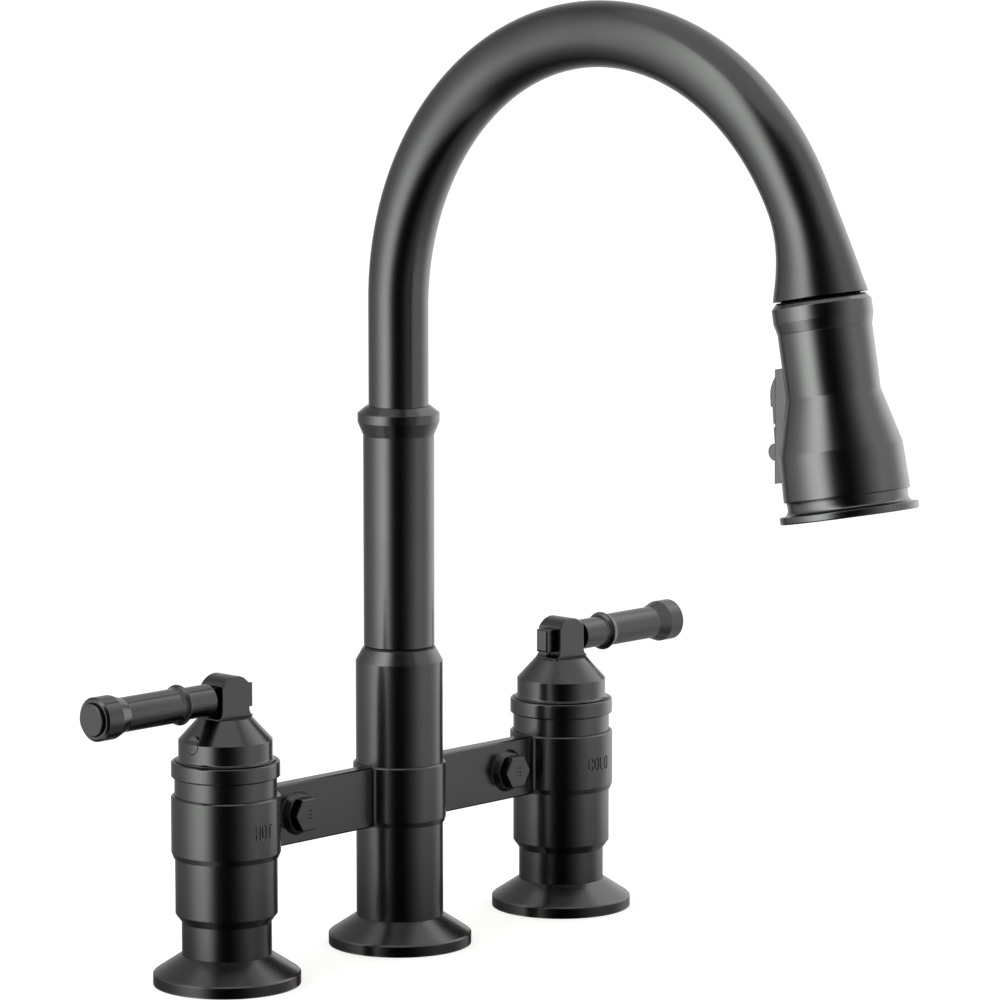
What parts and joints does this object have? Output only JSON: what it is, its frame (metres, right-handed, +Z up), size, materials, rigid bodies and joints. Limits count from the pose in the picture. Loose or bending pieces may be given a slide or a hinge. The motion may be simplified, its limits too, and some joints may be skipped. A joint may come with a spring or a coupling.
{
  "type": "bridge kitchen faucet",
  "caption": "Deck-mounted bridge kitchen faucet with a high gooseneck spout, pull-down spray wand and lever handles on a bar between valve columns.",
  "frame": {"origin": "middle column axis on the deck surface that the flanges stand on", "axes": "+Z up along the column axis, +X towards the cold valve, -Y towards the user and the spout outlet"},
  "size_m": [0.3506, 0.3004, 0.5777],
  "materials": {
    "matt_black": "matt black coating over brass, finely brushed",
    "seal_rubber": "matt",
    "nozzle_rubber": "soft matt",
    "steel": "plain stainless",
    "magnet_steel": "nickel plated",
    "brass": "machined",
    "copper_tube": "drawn copper",
    "bush_plastic": "moulded",
    "insert_plastic": "moulded",
    "rocker_plastic": "satin black",
    "braid": "woven nylon braid"
  },
  "bodies": {
    "base": {"hot_flange": "matt_black", "column_flange": "matt_black", "cold_flange": "matt_black", "flange_gaskets": "seal_rubber", "hot_valve_body": "matt_black", "cold_valve_body": "matt_black", "hot_cartridge": "brass", "cold_cartridge": "brass", "hot_bonnet": "matt_black", "cold_bonnet": "matt_black", "spout_column": "matt_black", "mixing_insert": "brass", "outlet_tube": "copper_tube", "swivel_bush": "bush_plastic", "bridge_bar": "matt_black", "bridge_bolts": "matt_black", "hot_shank": "brass", "cold_shank": "brass", "column_shank": "brass", "rubber_washers": "seal_rubber", "steel_washers": "steel", "valve_nuts": "brass", "column_nut": "brass"},
    "spout": {"spout_post": "matt_black", "retaining_clip": "steel", "spout_orings": "seal_rubber", "spout_collar": "matt_black", "gooseneck": "matt_black", "dock_magnet": "magnet_steel", "spray_hose": "braid", "hose_fitting": "brass"},
    "hose_end": {"hose_nut": "brass"},
    "wand": {"wand_collar": "matt_black", "wand_shell": "matt_black", "wand_waterway": "bush_plastic", "face_ring": "matt_black", "spray_face": "nozzle_rubber", "stream_insert": "insert_plastic", "rocker_panel": "rocker_plastic", "rocker_pin": "steel"},
    "rocker": {"spray_rocker": "rocker_plastic"},
    "hot_handle": {"hot_hub": "matt_black", "hot_hub_plug": "matt_black", "hot_set_screw": "steel", "hot_stem": "brass", "hot_lever_block": "matt_black", "hot_lever_bar": "matt_black", "hot_grip": "matt_black", "hot_end_disc": "matt_black"},
    "cold_handle": {"cold_hub": "matt_black", "cold_hub_plug": "matt_black", "cold_set_screw": "steel", "cold_stem": "brass", "cold_lever_block": "matt_black", "cold_lever_bar": "matt_black", "cold_grip": "matt_black", "cold_end_disc": "matt_black"}
  },
  "joints": [
    {"name": "spout_swivel", "type": "hinge", "parent": "base", "child": "spout", "pos_m": [0, 0, 0.1], "axis": [0, 0, 1], "range_deg": [-180, 180]},
    {"name": "wand_pull", "type": "slide", "parent": "spout", "child": "hose_end", "axis": [0, -0.1822, -0.9833], "range_m": [0, 0.19]},
    {"name": "wand_spin", "type": "hinge", "parent": "hose_end", "child": "wand", "pos_m": [0, -0.22789, 0.29029], "axis": [0, -0.1822, -0.9833], "continuous": true},
    {"name": "spray_toggle", "type": "hinge", "parent": "wand", "child": "rocker", "pos_m": [0, -0.21266, 0.23967], "axis": [1, 0, 0], "range_deg": [0, 4.5]},
    {"name": "hot_lever", "type": "hinge", "parent": "base", "child": "hot_handle", "pos_m": [-0.1016, 0, 0.11], "axis": [0, 0, 1], "range_deg": [0, 90]},
    {"name": "cold_lever", "type": "hinge", "parent": "base", "child": "cold_handle", "pos_m": [0.1016, 0, 0.11], "axis": [0, 0, 1], "range_deg": [-90, 0]}
  ]
}
